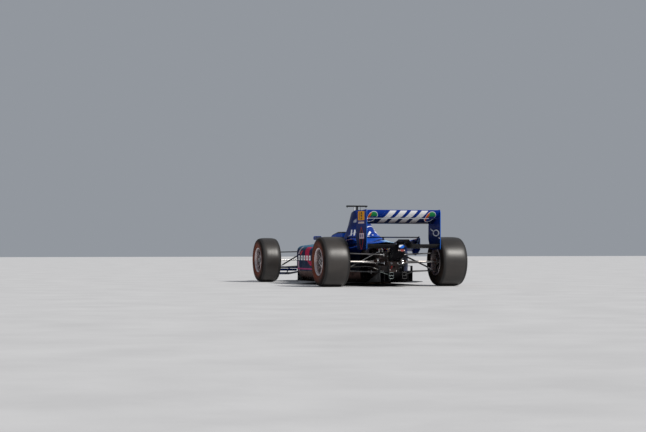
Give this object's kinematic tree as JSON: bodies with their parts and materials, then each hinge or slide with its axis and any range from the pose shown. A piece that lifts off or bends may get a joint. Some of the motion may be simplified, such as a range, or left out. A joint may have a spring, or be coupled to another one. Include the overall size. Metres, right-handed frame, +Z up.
{
  "type": "open wheel racing car",
  "caption": "Single-seat open wheel racing car with wings front and rear, slick tyres that roll, steered front wheels and an open cockpit.",
  "frame": {"origin": "on the ground under the middle of the car's overall length and width", "axes": "+X towards the car's left side, +Y towards the tail, +Z up"},
  "size_m": [2, 4.66, 1.107],
  "materials": {
    "painted_blue": "glossy deep blue paint over moulded composite",
    "black_composite": "satin black woven composite",
    "wood_composite": "sealed laminated plank, scuffed",
    "foam_padding": "dark covered foam",
    "cast_casing": "dark cast alloy, oil stained",
    "bare_metal": "bare metal, heat tinted in places",
    "red_lens": "clear red lens",
    "grip_trim": "dark stitched grip",
    "tyre_rubber": "worn slick tread, brown dust",
    "rim_alloy": "machined silver alloy",
    "hub_steel": "ground steel with a dark disc"
  },
  "bodies": {
    "chassis": {"airbox": "painted_blue", "bargeboards": "black_composite", "beam_wing": "black_composite", "camera_pod": "black_composite", "dash_panel": "black_composite", "diffuser": "black_composite", "driver_bucket": "black_composite", "engine_block": "cast_casing", "engine_cover": "painted_blue", "exhaust_pipes": "bare_metal", "flip_ups": "painted_blue", "floor": "black_composite", "front_wing_endplates": "painted_blue", "front_wing_flaps": "painted_blue", "front_wing_mainplane": "black_composite", "front_wishbones": "black_composite", "gearbox_casing": "cast_casing", "headrest": "foam_padding", "mirrors": "painted_blue", "monocoque": "painted_blue", "nose_cone": "painted_blue", "pushrods": "black_composite", "radiators": "bare_metal", "rain_light": "red_lens", "rear_crash_structure": "black_composite", "rear_dampers": "cast_casing", "rear_uprights": "cast_casing", "rear_wing_endplates": "painted_blue", "rear_wing_flap": "painted_blue", "rear_wing_mainplane": "black_composite", "rear_winglets": "painted_blue", "rear_wishbones": "black_composite", "sidepod_left": "painted_blue", "sidepod_right": "painted_blue", "skid_plank": "wood_composite"},
    "knuckle_left": {"knuckle_left": "cast_casing"},
    "knuckle_right": {"knuckle_right": "cast_casing"},
    "steering_rack": {"steering_rack": "bare_metal"},
    "steering_wheel": {"steering_wheel": "grip_trim"},
    "wheel_front_left": {"front_tyre_left": "tyre_rubber", "front_rim_left": "rim_alloy", "front_hub_left": "hub_steel"},
    "wheel_front_right": {"front_tyre_right": "tyre_rubber", "front_rim_right": "rim_alloy", "front_hub_right": "hub_steel"},
    "wheel_rear_left": {"rear_tyre_left": "tyre_rubber", "rear_rim_left": "rim_alloy", "rear_hub_left": "hub_steel"},
    "wheel_rear_right": {"rear_tyre_right": "tyre_rubber", "rear_rim_right": "rim_alloy", "rear_hub_right": "hub_steel"}
  },
  "joints": [
    {"name": "steer_left", "type": "hinge", "parent": "chassis", "child": "knuckle_left", "pos_m": [0.775, -1.31, 0.3275], "axis": [0, 0, 1], "range_deg": [-14, 14]},
    {"name": "steer_right", "type": "hinge", "parent": "chassis", "child": "knuckle_right", "pos_m": [-0.775, -1.31, 0.3275], "axis": [0, 0, 1], "range_deg": [-14, 14]},
    {"name": "rack_slide", "type": "slide", "parent": "chassis", "child": "steering_rack", "axis": [1, 0, 0], "range_m": [-0.023, 0.023]},
    {"name": "column_turn", "type": "hinge", "parent": "chassis", "child": "steering_wheel", "pos_m": [0, -0.33, 0.56], "axis": [0, 0.9397, 0.342], "range_deg": [-168, 168]},
    {"name": "front_left_spin", "type": "hinge", "parent": "knuckle_left", "child": "wheel_front_left", "pos_m": [0.85, -1.31, 0.3275], "axis": [1, 0, 0], "continuous": true},
    {"name": "front_right_spin", "type": "hinge", "parent": "knuckle_right", "child": "wheel_front_right", "pos_m": [-0.85, -1.31, 0.3275], "axis": [1, 0, 0], "continuous": true},
    {"name": "rear_left_spin", "type": "hinge", "parent": "chassis", "child": "wheel_rear_left", "pos_m": [0.815, 1.77, 0.3275], "axis": [1, 0, 0], "continuous": true},
    {"name": "rear_right_spin", "type": "hinge", "parent": "chassis", "child": "wheel_rear_right", "pos_m": [-0.815, 1.77, 0.3275], "axis": [1, 0, 0], "continuous": true}
  ],
  "couplings": [
    {"joint": "steer_right", "follows": "steer_left", "ratio": 1},
    {"joint": "rack_slide", "follows": "steer_left", "m_per_rad": 0.09406},
    {"joint": "column_turn", "follows": "steer_left", "ratio": 12}
  ]
}
